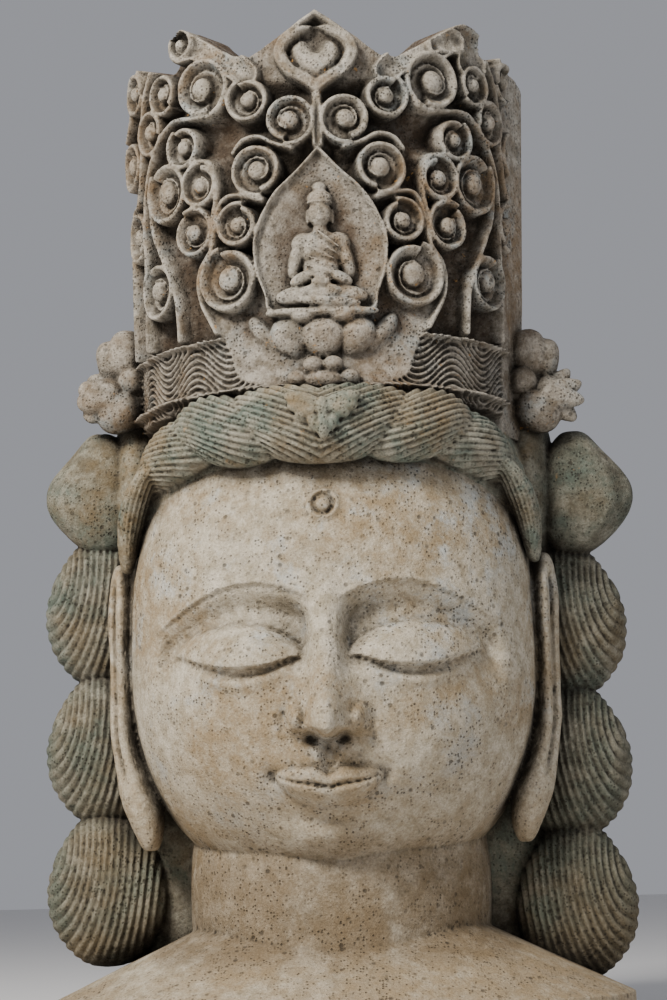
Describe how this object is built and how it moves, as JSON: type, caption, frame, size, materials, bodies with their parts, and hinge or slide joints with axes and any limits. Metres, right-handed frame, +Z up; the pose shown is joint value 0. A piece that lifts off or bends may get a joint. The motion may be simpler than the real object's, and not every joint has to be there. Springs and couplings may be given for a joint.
{
  "type": "crowned buddha head",
  "caption": "Carved stone head of a crowned bodhisattva with a tall scroll crown, looped ribbons and hanging locks, as a bust cut flat below.",
  "frame": {"origin": "middle of the bounding box, at the level of the flat cut that the bust stands on", "axes": "+Z up to the crown's peak, -Y the way the face looks, +X to the viewer's right"},
  "size_m": [0.6046, 0.4414, 0.9798],
  "materials": {
    "stone": "weathered, pitted, matt"
  },
  "bodies": {
    "root": {"crowned_head": "stone"}
  },
  "joints": []
}
